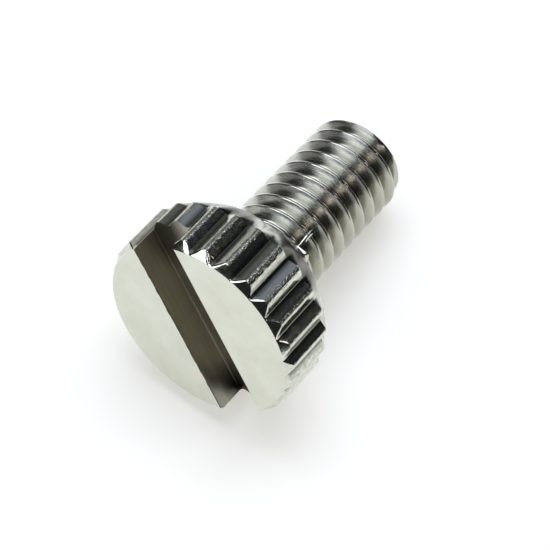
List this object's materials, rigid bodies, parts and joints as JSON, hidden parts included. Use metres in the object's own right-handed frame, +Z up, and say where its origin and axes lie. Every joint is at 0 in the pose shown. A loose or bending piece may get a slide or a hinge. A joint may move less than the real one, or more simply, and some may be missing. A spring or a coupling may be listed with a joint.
{
  "type": "screw",
  "caption": "Short machine screw with a fluted round head, a wide straight driver slot across its flat face, a bevelled rim and a right-hand thread.",
  "frame": {"origin": "middle of the bounding box on the surface the screw lies on", "axes": "+X level, from the head towards the tip; +Z up; the screw's axis falls towards the tip because the head is wider than the thread"},
  "size_m": [0.012, 0.008, 0.0082],
  "materials": {
    "nickel_plate": "bright nickel plating, polished face, machined thread"
  },
  "bodies": {
    "root": {"screw": "nickel_plate"}
  },
  "joints": []
}
